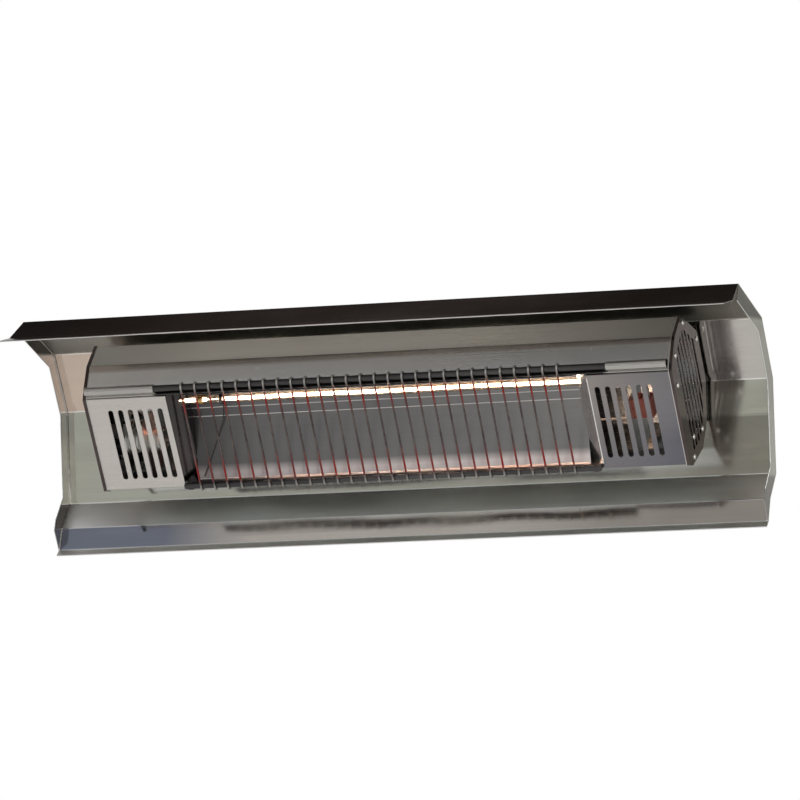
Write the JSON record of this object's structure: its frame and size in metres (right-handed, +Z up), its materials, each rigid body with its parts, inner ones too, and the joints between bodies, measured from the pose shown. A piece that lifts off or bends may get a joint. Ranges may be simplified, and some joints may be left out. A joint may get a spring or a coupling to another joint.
{
  "type": "heat lamp warmer",
  "caption": "Wall-mounted folded steel trough hood with a quartz strip heater fixed inside, its lamp behind a hinged wire guard.",
  "frame": {"origin": "centre of the rear face of the hood's upright back panel, on the wall", "axes": "+X along the hood to its right end as seen from the front, +Y into the wall, +Z up"},
  "size_m": [1.105, 0.2366, 0.3429],
  "materials": {
    "hood_steel": "satin stainless, lightly soiled",
    "housing_steel": "satin stainless, heat toned",
    "plated_steel": "zinc plated",
    "reflector_aluminium": "bright rolled",
    "guard_steel": "bright drawn wire and rod",
    "rivet_aluminium": "plain",
    "screw_steel": "plain machined",
    "terminal_brass": "plain",
    "quartz": "clear",
    "filament_metal": "glowing coil",
    "ceramic": "unglazed",
    "terminal_red": "moulded",
    "black_nylon": "moulded",
    "silicone_lead": "silicone sheath"
  },
  "bodies": {
    "housing": {"bay_plate_left": "plated_steel", "bay_plate_right": "plated_steel", "bracket_rivets": "rivet_aluminium", "cable_gland": "black_nylon", "end_cap_left": "housing_steel", "end_cap_right": "housing_steel", "end_cap_screws_left": "screw_steel", "end_cap_screws_right": "screw_steel", "end_frame_left": "housing_steel", "end_frame_right": "housing_steel", "filament": "filament_metal", "gland_dome_nut": "black_nylon", "gland_lock_nut": "black_nylon", "guard_clip_left": "guard_steel", "guard_clip_right": "guard_steel", "heater_back_cover": "housing_steel", "heater_bottom_rail": "housing_steel", "heater_bracket_left": "plated_steel", "heater_bracket_right": "plated_steel", "heater_fixing_screws": "screw_steel", "heater_top_cover": "housing_steel", "heater_top_rail": "housing_steel", "hinge_barrel_left": "guard_steel", "hinge_barrel_right": "guard_steel", "hood_end_flange_left": "hood_steel", "hood_end_flange_right": "hood_steel", "hood_shell": "hood_steel", "lamp_ceramic_left": "ceramic", "lamp_ceramic_right": "ceramic", "lamp_holder_left": "plated_steel", "lamp_holder_right": "plated_steel", "lamp_lead_left": "silicone_lead", "lamp_lead_right": "silicone_lead", "lamp_support": "guard_steel", "lead_conduit": "plated_steel", "opening_reveal_left": "reflector_aluminium", "opening_reveal_right": "reflector_aluminium", "overheat_cutout": "terminal_red", "quartz_tube": "quartz", "reflector": "reflector_aluminium", "return_lead": "silicone_lead", "supply_lead": "silicone_lead", "switch_body": "black_nylon", "terminal_block": "terminal_red", "terminal_screws": "terminal_brass", "vent_panel_left": "housing_steel", "vent_panel_right": "housing_steel"},
    "guard": {"guard_top_rod": "guard_steel", "guard_bottom_rod": "guard_steel", "guard_wires": "guard_steel"},
    "rocker": {"switch_rocker": "black_nylon"}
  },
  "joints": [
    {"name": "guard_hinge", "type": "hinge", "parent": "housing", "child": "guard", "pos_m": [0, -0.17406, 0.08868], "axis": [-1, 0, 0], "range_deg": [0, 100]},
    {"name": "switch_pivot", "type": "hinge", "parent": "housing", "child": "rocker", "pos_m": [-0.4485, -0.05296, 0.05593], "axis": [0, -1, 0], "range_deg": [0, 20]}
  ]
}
